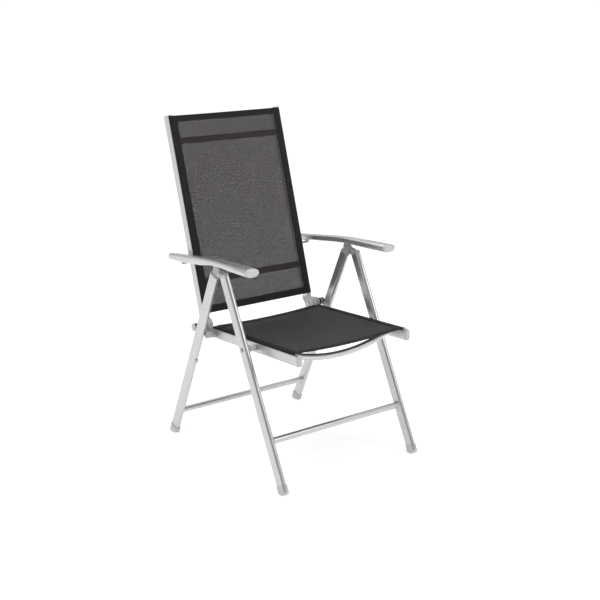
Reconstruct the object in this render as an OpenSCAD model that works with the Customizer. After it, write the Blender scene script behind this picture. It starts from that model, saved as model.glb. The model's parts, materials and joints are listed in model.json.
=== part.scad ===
/* [Side frames] */
// Height of the apex hinge above the floor
apex_h = 618; // [580:1:650]
// Distance between the centre planes of the left and right legs
leg_track = 524; // [500:1:560]
// Lean of the front legs from vertical, degrees
front_tilt = 26.4; // [24:0.1:28]
// Lean of the rear legs from vertical, degrees
rear_tilt = 24.5; // [22:0.1:26]
// Distance from the apex hinge forward to the front leg's centre line
front_offset = 14.7; // [13:0.1:17]
// Distance from the apex hinge back to the rear leg's centre line
rear_offset = 28.9; // [27:0.1:32]
// Height of the front stretcher's centre above the floor
front_stretcher_h = 147; // [100:1:200]
// Height of the rear stretcher's centre above the floor
rear_stretcher_h = 86; // [80:1:110]
// Outer diameter of the stretchers and cross bars
bar_dia = 20; // [16:0.5:22]

/* [Oval tube] */
// Long side of the oval tube
tube_d = 38; // [34:0.5:42]
// Short side of the oval tube
tube_w = 18; // [16:0.5:20]
// Wall of the tubes
tube_wall = 1.5; // [1:0.1:2]
// Diameter of the edge cord sewn into each fabric
cord_dia = 4.8; // [4:0.1:5.4]
// Thickness of the fabrics
fabric_t = 1.2; // [0.8:0.1:1.5]

/* [Seat] */
// Distance down the front leg from the apex hinge to the seat pivot
seat_drop = 243.7; // [225:0.1:255]
// Rise of the seat towards the front, degrees
seat_pitch = 3; // [1:0.1:5]
// Length of the seat rail in front of the seat pivot
rail_front = 213; // [190:1:230]
// Free width between the inner faces of the legs and the outer faces of the rails
side_gap = 31; // [28:0.5:36]
// Distance of the back hinge above the rail's centre line
hinge_rise = 17.4; // [15:0.1:20]
// Distance from the rail's rear end to the back hinge
hinge_reach = 44; // [43:1:50]
// Drop of the front bow at its middle
bow_dip = 38; // [25:1:45]
// Distance of the front bow in front of the seat pivot
bow_ahead = 140; // [120:1:160]
// Distance of the rear seat bar behind the seat pivot
seat_bar_behind = 190; // [160:1:200]
// Length of rail left bare at its front end
rail_bare = 14; // [10:1:20]

/* [Back] */
// Lean of the back from vertical, degrees
back_lean = 16.6; // [14:0.1:20]
// Distance from the back hinge to the top of the posts
back_len = 688; // [600:1:720]
// Distance of the posts' centre line behind the back hinge
post_offset = 14.2; // [13:0.1:16]
// Height of the fabric's lower edge above the back hinge
back_fabric_low = 36; // [36:1:50]
// Height of the lower cross bar above the back hinge
low_bar_h = 142; // [100:1:160]
// Distance of the upper cross bar below the posts' top
high_bar_below = 83; // [60:1:120]
// Height of the rack pin above the back hinge
pin_h = 212; // [209:0.5:215]
// Diameter of the rack pin
pin_dia = 9; // [8:0.5:10]

/* [Armrests] */
// Height of the armrest pivot above the apex hinge
arm_pivot_rise = 32; // [30:1:36]
// Distance of the armrest pivot behind the apex hinge
arm_pivot_back = 38; // [36:1:42]
// Length of the armrest in front of its pivot
arm_front = 221; // [200:1:260]
// Length of the armrest behind its pivot
arm_rear = 278; // [276:1:290]
// Width of the armrest near its front end
arm_w_front = 50; // [44:1:56]
// Width of the armrest at its rear end
arm_w_rear = 28; // [26:1:30]
// Height of the armrest's section at its middle and rear
arm_h = 21; // [19:0.5:24]
// Height of the armrest's section at its front end
arm_h_front = 27; // [22:0.5:30]
// Wall of the armrest
arm_wall = 2.4; // [2:0.1:3]
// Fall of the armrest towards the rear, degrees
arm_fall = 7.2; // [6:0.1:8]
// Rise of the lower edge at the armrest's front end
arm_lift = 5; // [0:1:15]
// Outward shift of the armrest's front end
arm_toe = 7; // [0:1:10]
// Number of notches in the rack
notch_count = 7; // [4:1:8]
// Recline from one notch to the next, degrees
notch_step = 3.33; // [3:0.01:3.4]

/* [Fittings] */
// Diameter of the pivot bolts of the seat and the back
bolt_dia = 8; // [7:0.5:9]
// Diameter of the stop roller behind the rear leg
roller_dia = 26; // [24:0.5:28]
// Diameter of the back hinge's discs
disc_dia = 44; // [42:1:46]
// Thickness of the rear leg's bracket plate
plate_t = 6; // [5:0.5:7]
// Diameter of the apex rivets
rivet_dia = 8; // [7:0.5:9]
// Thickness of the plastic end caps' flanges
cap_t = 3; // [2:0.5:4]
// Wall of the feet around the legs
foot_wall = 1.6; // [1.2:0.1:2]
// Height of the bumper on the rear leg
bumper_t = 5; // [4:0.1:5]

/* [Hidden] */

$fn = 48;
// Gap between faces that slide past each other
slip = 0.3;
// Radial clearance of a shaft in its bore
run = 0.05;
// Overlap of cutting shapes past the face they cut
cut = 1;

frame_silver = [0.78, 0.78, 0.80];
plastic_grey = [0.62, 0.62, 0.64];
mesh_dark = [0.22, 0.21, 0.22];
steel = [0.55, 0.55, 0.57];

// A point [y, z] of a frame leaning back by t degrees
function turn(t, p) = [p[0] * cos(t) + p[1] * sin(t), -p[0] * sin(t) + p[1] * cos(t)];

leg_x = leg_track / 2;
leg_in = leg_x - tube_w / 2;
rail_out = leg_in - side_gap;
rail_x = rail_out - tube_w / 2;
rail_in = rail_x - tube_w / 2;
bar_r = bar_dia / 2;
bolt_r = bolt_dia / 2;
rivet_r = rivet_dia / 2;
roller_r = roller_dia / 2;
disc_r = disc_dia / 2;
pin_r = pin_dia / 2;
cord_r = cord_dia / 2;

// Points relative to the apex hinge, as [y, z]
seat_pivot = turn(front_tilt, [-front_offset, -seat_drop]);
// The back hinge lies where its roller rests on the back of the rear leg
roller_depth = rear_offset + tube_d / 2 + slip + roller_r;
function rear_depth(p) = turn(rear_tilt, p)[0];
hinge_start = seat_pivot + turn(seat_pitch, [0, hinge_rise]);
hinge_run = (roller_depth - rear_depth(hinge_start)) / rear_depth(turn(seat_pitch, [1, 0]));
back_hinge = seat_pivot + turn(seat_pitch, [hinge_run, hinge_rise]);
arm_pivot = [arm_pivot_back, arm_pivot_rise];
rack_pin = back_hinge + turn(back_lean, [post_offset, pin_h]);

// Where each leg's centre line meets the floor, measured down the leg from the apex hinge
front_floor = -(apex_h + front_offset * sin(front_tilt)) / cos(front_tilt);
rear_floor = -(apex_h + rear_offset * sin(rear_tilt)) / cos(rear_tilt);
function foot_half(t) = (tube_d / 2 + foot_wall) / cos(t);
// Each foot's toe, where its outer face would meet the floor, is rounded: centre of that rounding
toe_r = 16;
toe_over = 0.4;
function toe_centre(t) = (toe_r - toe_over) * [(1 + sin(t)) / cos(t), 1];
front_toe = turn(front_tilt, [-front_offset, front_floor])[0] - foot_half(front_tilt);
rear_toe = turn(-rear_tilt, [rear_offset, rear_floor])[0] + foot_half(rear_tilt);
front_reach = front_toe + toe_centre(front_tilt)[0] - toe_r;
rear_reach = (back_hinge + turn(back_lean, [post_offset + tube_d / 2, back_len + cap_t]))[0];
hinge_y = -(front_reach + rear_reach) / 2;

// ---- Places ----
module at(p) translate([0, hinge_y + p[0], apex_h + p[1]]) children();
module front_side(side) at([0, 0]) rotate([-front_tilt, 0, 0]) translate([side * leg_x, 0, 0]) children();
module rear_side(side) at([0, 0]) rotate([rear_tilt, 0, 0]) translate([side * leg_x, 0, 0]) children();
module seat_place() at(seat_pivot) rotate([-seat_pitch, 0, 0]) children();
module back_place() at(back_hinge) rotate([-back_lean, 0, 0]) children();
module arm_place(side) at(arm_pivot) mirror([side < 0 ? 1 : 0, 0, 0]) children();
module mirrored(side) mirror([side < 0 ? 1 : 0, 0, 0]) children();
module both() for (side = [-1, 1]) mirrored(side) children();

// ---- Shapes ----
// Flat oval, long side along Y
module oval(d, w) {
    square([w, d - w], center = true);
    for (s = [-1, 1]) translate([0, s * (d - w) / 2]) circle(d = w);
}

// Oval tube standing along Z
module oval_tube(from, to) difference() {
    translate([0, 0, from]) linear_extrude(to - from) oval(tube_d, tube_w);
    translate([0, 0, from - cut]) linear_extrude(to - from + 2 * cut)
        oval(tube_d - 2 * tube_wall, tube_w - 2 * tube_wall);
}

// Rod along X from x0 to x1
module rod(r, x0, x1, p = [0, 0]) translate([x0, p[0], p[1]]) rotate([0, 90, 0]) cylinder(r = r, h = x1 - x0);

// Ring along X
module ring(r_out, r_in, x0, x1, p = [0, 0]) difference() {
    rod(r_out, x0, x1, p);
    rod(r_in, x0 - cut, x1 + cut, p);
}

// Round tube along X
module bar(half_length) ring(bar_r, bar_r - tube_wall, -half_length, half_length);

// Flat link in the YZ plane between two round ends, drawn in 2D
module link(p, q, rp, rq) {
    v = q - p;
    d = norm(v);
    a = atan2(v[1], v[0]);
    b = acos((rp - rq) / d);
    function rim(c, r, t) = c + r * [cos(t), sin(t)];
    translate(p) circle(r = rp);
    translate(q) circle(r = rq);
    polygon([rim(p, rp, a + b), rim(q, rq, a + b), rim(q, rq, a - b), rim(p, rp, a - b)]);
}

// Stands a 2D shape drawn in Y and Z up as a plate from x0 to x1
module plate(x0, x1) translate([x0, 0, 0]) rotate([90, 0, 90]) linear_extrude(x1 - x0) children();

// ---- Legs ----
front_top = -13;
rear_top = -26;
tube_plug = 34;
plug_fit = 0.15;
lug_r = 11;
ear_r = 10;

// The tube ends sole_t above the floor at its lowest point
sole_t = 4;
function tube_end(floor_s, t) = floor_s + tube_d / 2 * tan(t) + sole_t;

module plug(from, to) translate([0, 0, from]) linear_extrude(to - from)
    oval(tube_d - 2 * tube_wall - 2 * plug_fit, tube_w - 2 * tube_wall - 2 * plug_fit);

module front_leg(side) color(frame_silver) front_side(side) difference() {
    translate([0, -front_offset, 0]) oval_tube(tube_end(front_floor, front_tilt), front_top);
    rod(bolt_r + run, -tube_w, tube_w, [-front_offset, -seat_drop]);
}

module rear_leg(side) color(frame_silver) rear_side(side)
    translate([0, rear_offset, 0]) oval_tube(tube_end(rear_floor, rear_tilt), rear_top);

function leg_y(offset, t, h) = turn(t, [offset, 0])[0] + (h - apex_h - turn(t, [offset, 0])[1]) * tan(t);

module front_stretcher() color(frame_silver)
    at([leg_y(-front_offset, front_tilt, front_stretcher_h), front_stretcher_h - apex_h]) bar(leg_in);

module rear_stretcher() color(frame_silver)
    at([leg_y(rear_offset, -rear_tilt, rear_stretcher_h), rear_stretcher_h - apex_h]) bar(leg_in);

// Boot around a leg's lower end, cut level with the floor
foot_grip = 16;
module foot(offset, floor_s, t) difference() {
    translate([0, offset, floor_s - tube_d]) linear_extrude(tube_end(floor_s, t) + foot_grip - floor_s + tube_d)
        oval(tube_d + 2 * foot_wall, tube_w + 2 * foot_wall);
    translate([0, offset, tube_end(floor_s, t)]) linear_extrude(foot_grip + cut)
        oval(tube_d + 2 * plug_fit, tube_w + 2 * plug_fit);
}

module above_floor() intersection() {
    children();
    translate([-leg_track, -apex_h, 0]) cube([2 * leg_track, 2 * apex_h, apex_h]);
}

// What the rounding takes from a foot whose toe is at Y = 0 and points to -Y
module toe_cut(t) plate(-leg_track, leg_track) difference() {
    c = toe_centre(t);
    far = c + 3 * toe_r * [-cos(t), sin(t)];
    polygon([c, [c[0], -toe_r], [far[0], -toe_r], far]);
    translate(c) circle(r = toe_r);
}

module front_foot(side) color(plastic_grey) difference() {
    above_floor() front_side(side) foot(-front_offset, front_floor, front_tilt);
    translate([0, hinge_y + front_toe, 0]) toe_cut(front_tilt);
}

module rear_foot(side) color(plastic_grey) difference() {
    above_floor() rear_side(side) foot(rear_offset, rear_floor, rear_tilt);
    translate([0, hinge_y + rear_toe, 0]) mirror([0, 1, 0]) toe_cut(rear_tilt);
}

// Hinge end of the front leg: a plug, a slotted block and two ears around the rivet
module leg_top(side) color(plastic_grey) front_side(side) difference() {
    union() {
        translate([0, -front_offset, 0]) plug(front_top - tube_plug, front_top);
        translate([0, -front_offset, front_top]) linear_extrude(-front_top - ear_r / 2) oval(tube_d, tube_w);
        plate(-tube_w / 2 + slip, tube_w / 2 - slip)
            link([0, 0], [-front_offset, front_top + ear_r / 2 + slip], ear_r, ear_r / 2);
    }
    plate(-plate_t / 2 - slip, plate_t / 2 + slip) {
        circle(r = lug_r + 2 * slip);
        translate([0, -lug_r / 2]) square([2 * lug_r, 2 * lug_r]);
    }
    rod(rivet_r + run, -tube_w, tube_w);
}

rivet_head_r = 6.8;
rivet_head_h = 2;
module apex_rivets() color(steel) for (side = [-1, 1]) front_side(side) {
    rod(rivet_r, -tube_w / 2 - slip, tube_w / 2 + slip);
    for (s = [0, 1]) mirror([s, 0, 0]) rod(rivet_head_r, tube_w / 2, tube_w / 2 + rivet_head_h);
}

// Plate on the rear leg's top that carries the apex hinge and the armrest pivot
pivot_local = turn(rear_tilt, arm_pivot);
arm_lug_r = 8;
arm_bolt_r = 3;
arm_sleeve_r = 5;
bracket_base = 4;
bracket_waist = 2;
module arm_bracket(side) color(plastic_grey) rear_side(side) difference() {
    union() {
        translate([0, rear_offset, 0]) plug(rear_top - tube_plug, rear_top);
        translate([0, rear_offset, rear_top]) linear_extrude(bracket_base) oval(tube_d, tube_w);
        plate(-plate_t / 2, plate_t / 2) {
            circle(r = lug_r);
            link([0, 0], pivot_local, lug_r - bracket_waist, arm_lug_r);
            polygon([[0, 0], pivot_local, [rear_offset + tube_d / 2 - tube_w / 2, rear_top],
                [rear_offset - tube_d / 4, rear_top]]);
        }
    }
    rod(rivet_r + run, -tube_w, tube_w);
    rod(arm_bolt_r + run, -tube_w, tube_w, pivot_local);
}

bumper_down = 358;
bumper_dia = 12.6;
module leg_bumpers() color(mesh_dark) for (side = [-1, 1]) rear_side(side)
    translate([0, rear_offset - tube_d / 2, -bumper_down]) intersection() {
        rotate([90, 0, 0]) translate([0, 0, -tube_w / 2]) cylinder(d = bumper_dia, h = bumper_t + tube_w / 2);
        difference() {
            translate([-tube_w, -tube_w, -tube_w]) cube([2 * tube_w, tube_w + tube_w / 2, 2 * tube_w]);
            translate([0, tube_d / 2, -tube_d]) linear_extrude(2 * tube_d) oval(tube_d, tube_w);
        }
    }

// ---- Seat pivot ----
bush_r = 10;
bush_collar = 3;
collar_t = 6;
head_r = 7;
head_h = 4;
nut_h = 5;
module seat_pivot_bolts() color(steel) both() at(seat_pivot) {
    rod(bolt_r, rail_in - slip - head_h, leg_x + tube_w / 2 + head_h / 4);
    rod(head_r, leg_x + tube_w / 2, leg_x + tube_w / 2 + head_h);
    rod(head_r, rail_in - slip - nut_h, rail_in - slip);
}

module seat_pivot_bushes() color(plastic_grey) both() at(seat_pivot) {
    ring(bush_r, bolt_r, rail_out + slip, leg_in);
    ring(bush_r + bush_collar, bolt_r, leg_in - collar_t, leg_in);
}

// ---- Slotted rails and posts ----
// The fabric side of the profile is +Y, its outer side +X
// Centre of the cord groove, out from the profile's middle and up from where its round end starts
cord_out = 3.2;
cord_up = 2.2;
cord_seat = [cord_out, tube_d / 2 - tube_w / 2 + cord_up];
cord_angle = 38;
// Web between the cord groove and the hollow of the profile
cord_web = 4;
cavity_top = tube_d / 2 - tube_w / 2 - cord_web;
cavity_low = -tube_d / 2 + tube_wall;
slot_w = fabric_t + 2 * slip;

module cavity(shrink) {
    w = tube_w - 2 * tube_wall - 2 * shrink;
    h = cavity_top - cavity_low - 2 * shrink;
    translate([0, (cavity_top + cavity_low) / 2]) {
        translate([0, w / 4]) square([w, h - w / 2], center = true);
        translate([0, -(h - w) / 2]) circle(d = w);
    }
}

module slotted_profile() difference() {
    oval(tube_d, tube_w);
    cavity(0);
    translate(cord_seat) circle(r = cord_r + slip);
    translate(cord_seat) rotate(cord_angle) translate([0, -slot_w / 2]) square([tube_w, slot_w]);
}

// Seat: profile runs along Y, fabric side up
module along_seat(y0, y1) translate([0, y1, 0]) rotate([90, 0, 0]) linear_extrude(y1 - y0) children();
// Back: profile runs along Z, fabric side forward
module along_back(z0, z1) translate([0, post_offset, z0]) linear_extrude(z1 - z0) mirror([0, 1]) children();

rail_rear = hinge_run - hinge_reach;

module seat_rail() color(frame_silver) difference() {
    translate([rail_x, 0, 0]) along_seat(-rail_front, rail_rear) slotted_profile();
    rod(bolt_r + run, rail_in - cut, rail_out + cut);
}

bow_end_z = 4;
module seat_front_bow() color(frame_silver) seat_place() {
    half = rail_in;
    radius = (half * half + bow_dip * bow_dip) / (2 * bow_dip);
    sweep = asin(half / radius);
    translate([0, -bow_ahead, bow_end_z - bow_dip + radius]) intersection() {
        rotate([90, 0, 0]) rotate([0, 0, -90 - sweep - 2]) rotate_extrude(angle = 2 * sweep + 4, $fn = 180)
            translate([radius, 0]) difference() {
                circle(r = bar_r);
                circle(r = bar_r - tube_wall);
            }
        translate([-half, -tube_d, -2 * radius]) cube([2 * half, 2 * tube_d, 2 * radius]);
    }
}

module seat_rear_bar() color(frame_silver) seat_place() translate([0, seat_bar_behind, 0]) bar(rail_in);

// Gap between a hem and its cord, and what the hem in the groove falls short of the profile's round end
hem_gap = 0.1;
hem_short = 1.5;
// Fabric section: a flat span that turns round the outer corners into the cord grooves
module sling_span() translate([-rail_x, tube_d / 2]) square([2 * rail_x, fabric_t]);

module sling_edges() {
    r_in = tube_w / 2;
    top = tube_d / 2;
    for (s = [0, 1]) mirror([s, 0]) translate([rail_x, top - r_in]) {
        intersection() {
            difference() {
                circle(r = r_in + fabric_t);
                circle(r = r_in);
            }
            polygon([[0, 0], [0, tube_w], [tube_w, tube_w], 2 * tube_w * [cos(cord_angle), sin(cord_angle)]]);
        }
        translate(cord_seat - [0, top - r_in]) rotate(cord_angle)
            translate([cord_r + hem_gap, -fabric_t / 2]) square([r_in - cord_r - hem_short, fabric_t]);
    }
}

fabric_past_rail = 7;
module seat_fabric() color(mesh_dark) seat_place() {
    along_seat(-rail_front + rail_bare, rail_rear + fabric_past_rail) sling_span();
    along_seat(-rail_front + rail_bare, rail_rear) sling_edges();
}

module cords() translate(cord_seat) circle(r = cord_r);

module seat_cords() color(mesh_dark) seat_place() both()
    translate([rail_x, 0, 0]) along_seat(-rail_front + rail_bare, rail_rear) cords();

module rail_front_caps() color(plastic_grey) seat_place() both() translate([rail_x, 0, 0]) {
    along_seat(-rail_front - cap_t, -rail_front) oval(tube_d, tube_w);
    along_seat(-rail_front, -rail_front + tube_plug / 2) cavity(plug_fit);
}

// ---- Back hinge ----
hinge_arm_r = 12;
hinge_arm_low = 5;
disc_edge = 2;
rail_flange = 4;

module seat_hinge(side) color(plastic_grey) seat_place() mirrored(side) difference() {
    union() {
        translate([rail_x, 0, 0]) along_seat(rail_rear - tube_plug, rail_rear) cavity(plug_fit);
        translate([rail_x, 0, 0]) along_seat(rail_rear, rail_rear + rail_flange) oval(tube_d, tube_w);
        plate(rail_x + slip / 2, rail_out - slip) {
            translate([hinge_run, hinge_rise]) circle(r = disc_r);
            difference() {
                link([rail_rear + rail_flange, -hinge_arm_low], [hinge_run, hinge_rise - disc_r / 2 + disc_edge],
                    hinge_arm_r, hinge_arm_r + disc_edge);
                translate([rail_rear - tube_d, -tube_d]) square([tube_d, 2 * tube_d]);
            }
        }
    }
    rod(bolt_r + run, 0, leg_x, [hinge_run, hinge_rise]);
}

post_flange = 4;
post_gap = 1;
post_low = disc_r + post_flange + post_gap;
module back_hinge_part(side) color(plastic_grey) back_place() mirrored(side) difference() {
    union() {
        translate([rail_x, 0, 0]) along_back(post_low, post_low + tube_plug) cavity(plug_fit);
        translate([rail_x, 0, 0]) along_back(post_low - post_flange, post_low) oval(tube_d, tube_w);
        plate(rail_in + slip, rail_x - slip / 2) {
            circle(r = disc_r);
            difference() {
                link([0, 0], [post_offset, post_low - post_flange / 2], disc_r - disc_edge, tube_d / 2 - disc_edge);
                translate([-tube_d, post_low]) square([3 * tube_d, tube_d]);
            }
        }
    }
    rod(bolt_r + run, 0, leg_x);
}

washer_r = 9;
module hinge_bolts() color(steel) both() at(back_hinge) {
    rod(bolt_r, rail_in - head_h, leg_x + tube_w / 2);
    rod(washer_r, rail_in - nut_h, rail_in);
}

// Turned spacer between the hinge discs and the plane of the legs: from, to and radius of each step
spacer_steps = [[0, 8, 20], [8, 13, 15], [13, 18, 18], [18, 31, 11]];
module hinge_spacers() color(plastic_grey) both() at(back_hinge) difference() {
    for (s = spacer_steps) rod(s[2], rail_out + s[0] + (s[0] > 0 ? 0 : slip), min(rail_out + s[1], leg_in));
    rod(bolt_r, rail_out - cut, leg_in + cut);
}

roller_cap_t = 3;
roller_hub_r = 8;
module stop_rollers() color(mesh_dark) both() at(back_hinge) {
    ring(roller_r, bolt_r, leg_in + slip, leg_x + tube_w / 2);
    rod(roller_r - roller_cap_t, leg_x + tube_w / 2, leg_x + tube_w / 2 + roller_cap_t);
    ring(roller_hub_r, bolt_r, leg_in, leg_in + slip);
}

// Guide bush beside the rail's rear end, in the same kind of steps
bush_steps = [[0, 6, 12.5], [6, 10, 9.5], [10, 30, 12.5]];
guide_back = 51.5;
module guide_bushes() color(plastic_grey) seat_place() both()
    for (s = bush_steps) rod(s[2], rail_out + s[0], min(rail_out + s[1], leg_in - 2 * slip), [hinge_run - guide_back, 0]);

// ---- Back ----
// What the fabric stops short of the posts' top
fabric_below_top = 1;
module back_post() color(frame_silver) difference() {
    translate([rail_x, 0, 0]) along_back(post_low, back_len) slotted_profile();
    rod(pin_r, rail_in - cut, rail_out + cut, [post_offset, pin_h]);
}

module back_top_bar() color(frame_silver) back_place()
    translate([0, post_offset, back_len - high_bar_below]) bar(rail_in);

module back_low_bar() color(frame_silver) back_place() translate([0, post_offset, low_bar_h]) bar(rail_in);

module back_fabric() color(mesh_dark) back_place() along_back(back_fabric_low, back_len - fabric_below_top) {
    sling_span();
    sling_edges();
}

module back_cords() color(mesh_dark) back_place() both()
    translate([rail_x, 0, 0]) along_back(back_fabric_low, back_len - fabric_below_top) cords();

module post_caps() color(plastic_grey) back_place() both() translate([rail_x, 0, 0]) {
    along_back(back_len, back_len + cap_t) oval(tube_d, tube_w);
    along_back(back_len - tube_plug / 2, back_len) cavity(plug_fit);
}

pin_past_rack = 1;
pin_collar = 3;
module rack_pins() color(steel) back_place() both() {
    rod(pin_r, rail_in + tube_wall, rack_x + rack_half + pin_past_rack, [post_offset, pin_h]);
    ring(pin_r + pin_collar, pin_r, rail_out, rail_out + pin_collar, [post_offset, pin_h]);
}

// ---- Armrests, drawn on the right with the pivot at Y = 0, Z = 0 ----
// Drop of the armrest's lower edge below its pivot
arm_low = 9;
// Lengths over which the ends are rounded, the share left flat at the nose, and how far the rear end closes
tip_round = 12;
nose_flat = 0.3;
tail_round = 10;
tail_close = 0.7;
// Lengths at the two ends that aren't hollow, and the slope of the wall where the hollow starts
nose_solid = 12;
tail_solid = 2.6;
hollow_start = 0.2;
// Stretch behind the pivot that stays straight before the armrest turns inwards by tail_shift
taper_start = 60;
tail_shift = 10;
// Distance in front of the pivot where the armrest is at its widest, and how it grows to there
arm_swell = 170;
swell_power = 1.6;
// Distance in front of the pivot where the armrest starts to rise, thicken and turn outwards
front_start = 60;
// Sections along the solid nose, the hollow length and the solid tail, and points around each
nose_steps = 6;
hollow_steps = 30;
tail_steps = 2;
arm_arc = 20;
// 1 gives an ellipse for a section, less gives it shoulders
section_power = 0.6;
// How far below its middle a section goes before it turns in under the lip, in degrees: outside and inside
lip_angle = 50;
mouth_angle = 35;

function front_share(y) = y < -front_start ? (-y - front_start) / (arm_front - front_start) : 0;
// Half width of the armrest at y, before its ends are rounded
function arm_half_plain(y) = y > -arm_swell
    ? arm_w_rear / 2 + (arm_w_front - arm_w_rear) / 2 * pow((arm_rear - y) / (arm_rear + arm_swell), swell_power)
    : arm_w_front / 2;
// Rounding factor towards the two ends
function arm_end(y, inset) =
    let (front = (-y - (arm_front - tip_round)) / tip_round)
    let (rear = (y - (arm_rear - inset - tail_round)) / tail_round)
    front > 0 ? nose_flat + (1 - nose_flat) * sqrt(1 - front * front) : rear > 0 ? sqrt(1 - tail_close * rear * rear) : 1;
function arm_height(y) = arm_h + (arm_h_front - arm_h) * front_share(y);
// Height of the armrest's lower edge
function arm_base(y) = -arm_low - (y > 0 ? y * tan(arm_fall) : 0) + arm_lift * pow(front_share(y), 2);
function arm_middle(y) = arm_base(y) + arm_height(y) / 2;
function arm_x(y) = leg_x + arm_toe * front_share(y)
    - (y > taper_start ? tail_shift * (y - taper_start) / (arm_rear - taper_start) : 0);

function power(v) = sign(v) * pow(abs(v), section_power);
// Point of the armrest's oval at y, at an angle from +X, with the skin set in by inset
function arm_point(y, inset, angle) =
    let (size = arm_end(y, inset) * [arm_half_plain(y) - inset, arm_height(y) / 2 - inset])
    [arm_x(y) + size[0] * power(cos(angle)), y, arm_middle(y) + size[1] * power(sin(angle))];
// Outside over the top, then back along the hollow's roof, or under the sole where the armrest is solid
function arm_section(y, hollow) = concat(
    [for (i = [0 : arm_arc]) arm_point(y, 0, -lip_angle + (180 + 2 * lip_angle) * i / arm_arc)],
    [for (i = [arm_arc : -1 : 0]) hollow
        ? arm_point(y, arm_wall, -mouth_angle + (180 + 2 * mouth_angle) * i / arm_arc)
        : arm_point(y, 0, -lip_angle - (180 - 2 * lip_angle) * (i + 1) / (arm_arc + 2))]);
hollow_front = -arm_front + nose_solid;
hollow_rear = arm_rear - tail_solid;
// Sections crowd together at both rounded ends
arm_sections = concat(
    [for (i = [0 : nose_steps]) arm_section(-arm_front + nose_solid * (1 - cos(90 * i / nose_steps)), false)],
    [for (i = [0 : hollow_steps]) arm_section(hollow_front + hollow_start
        + (hollow_rear - hollow_front - 2 * hollow_start) * sin(90 * i / hollow_steps), true)],
    [for (i = [0 : tail_steps]) arm_section(hollow_rear + tail_solid * i / tail_steps, false)]);

module loft(rings) {
    n = len(rings[0]);
    m = len(rings);
    points = [for (r = rings) for (p = r) p];
    walls = [for (j = [0 : m - 2]) for (i = [0 : n - 1])
        [j * n + i, j * n + (i + 1) % n, (j + 1) * n + (i + 1) % n, (j + 1) * n + i]];
    first = [[for (i = [n - 1 : -1 : 0]) i]];
    last = [[for (i = [0 : n - 1]) (m - 1) * n + i]];
    polyhedron(points, concat(walls, first, last), convexity = 6);
}

module armrest(side) color(frame_silver) arm_place(side) loft(arm_sections);

// Room under the armrest's top at y, for a piece of half width w
function arm_roof(y, w) = arm_middle(y) + (arm_height(y) / 2 - arm_wall)
    * pow(1 - pow(w / (arm_half_plain(y) - arm_wall), 1 / section_power), section_power) - slip;

saddle_len = 30;
saddle_half = 9.5;
saddle_up = 1;
saddle_low = -arm_low + saddle_up;
module arm_saddle(side) color(plastic_grey) arm_place(side) translate([leg_x, 0, 0]) difference() {
    translate([-saddle_half, -saddle_len / 2, saddle_low])
        cube([2 * saddle_half, saddle_len, arm_roof(saddle_len / 2, saddle_half) - saddle_low]);
    translate([-plate_t / 2 - slip, -saddle_len, -arm_low]) cube([plate_t + 2 * slip, 2 * saddle_len, arm_low + arm_lug_r + slip]);
    rod(arm_sleeve_r + run, -leg_x, leg_x);
}

arm_head_h = 1.5;
module arm_bolt(side) color(steel) arm_place(side) translate([leg_x, 0, 0]) for (s = [0, 1]) mirror([s, 0, 0]) {
    rod(arm_bolt_r, -cut, saddle_half + slip + arm_head_h);
    rod(arm_sleeve_r, saddle_half + slip, saddle_half + slip + arm_head_h);
}

module arm_sleeve(side) color(plastic_grey) arm_place(side) translate([leg_x, 0, 0]) for (s = [-1, 1])
    mirrored(s) ring(arm_sleeve_r, arm_bolt_r + run, plate_t / 2 + slip, saddle_half);

// Rack: its tooth tips follow the path of the pin as the back reclines
arm_follow = 0.34;
rack_half = 7.5;
rack_tail = 4;
rack_edge = 2;
pin_gap = 0.9;
// Each notch is a circle around the pin, larger by notch_room and higher by notch_up
notch_room = 1;
notch_up = 1.5;
// The pin's place seen from the armrest when the back is reclined by a degrees
function pin_seen(a) = turn(-arm_follow * a, back_hinge + turn(a, rack_pin - back_hinge) - arm_pivot);
rack_start = pin_seen(0)[0] - 2 * pin_r;
rack_end = arm_rear - arm_wall - rack_tail;
rack_x = arm_x((rack_start + rack_end) / 2);
rack_points = 12;
function rack_y(i) = rack_start + (rack_end - rack_start) * i / rack_points;
// Height of the tooth tips, a line through the pin's first and last places
pin_first = pin_seen(0);
pin_last = pin_seen((notch_count - 1) * notch_step);
tip_slope = (pin_last[1] - pin_first[1]) / (pin_last[0] - pin_first[0]);
function tip_z(y) = pin_first[1] + pin_r + pin_gap + (y - pin_first[0]) * tip_slope;
module arm_rack(side) color(plastic_grey) arm_place(side) plate(rack_x - rack_half, rack_x + rack_half) difference() {
    polygon(concat([[rack_end, tip_z(rack_end)], [rack_start, tip_z(rack_start)]],
        [for (i = [0 : rack_points]) [rack_y(i), arm_roof(rack_y(i), rack_half + rack_edge)]]));
    for (k = [0 : notch_count - 1]) translate(pin_seen(k * notch_step) + [0, notch_up]) circle(r = pin_r + notch_room);
}

front_leg(-1);  // front_leg_left
front_leg(1);  // front_leg_right
front_stretcher();
front_foot(-1);  // front_foot_left
front_foot(1);  // front_foot_right
leg_top(-1);  // leg_top_left
leg_top(1);  // leg_top_right
seat_pivot_bolts();
seat_pivot_bushes();
apex_rivets();
rear_leg(-1);  // rear_leg_left
rear_leg(1);  // rear_leg_right
rear_stretcher();
rear_foot(-1);  // rear_foot_left
rear_foot(1);  // rear_foot_right
arm_bracket(-1);  // arm_bracket_left
arm_bracket(1);  // arm_bracket_right
leg_bumpers();
seat_place() mirrored(-1) seat_rail();  // seat_rail_left
seat_place() seat_rail();  // seat_rail_right
seat_front_bow();
seat_rear_bar();
seat_fabric();
seat_cords();
rail_front_caps();
seat_hinge(-1);  // seat_hinge_left
seat_hinge(1);  // seat_hinge_right
guide_bushes();
hinge_bolts();
hinge_spacers();
stop_rollers();
back_place() mirrored(-1) back_post();  // back_post_left
back_place() back_post();  // back_post_right
back_top_bar();
back_low_bar();
back_fabric();
back_cords();
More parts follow.
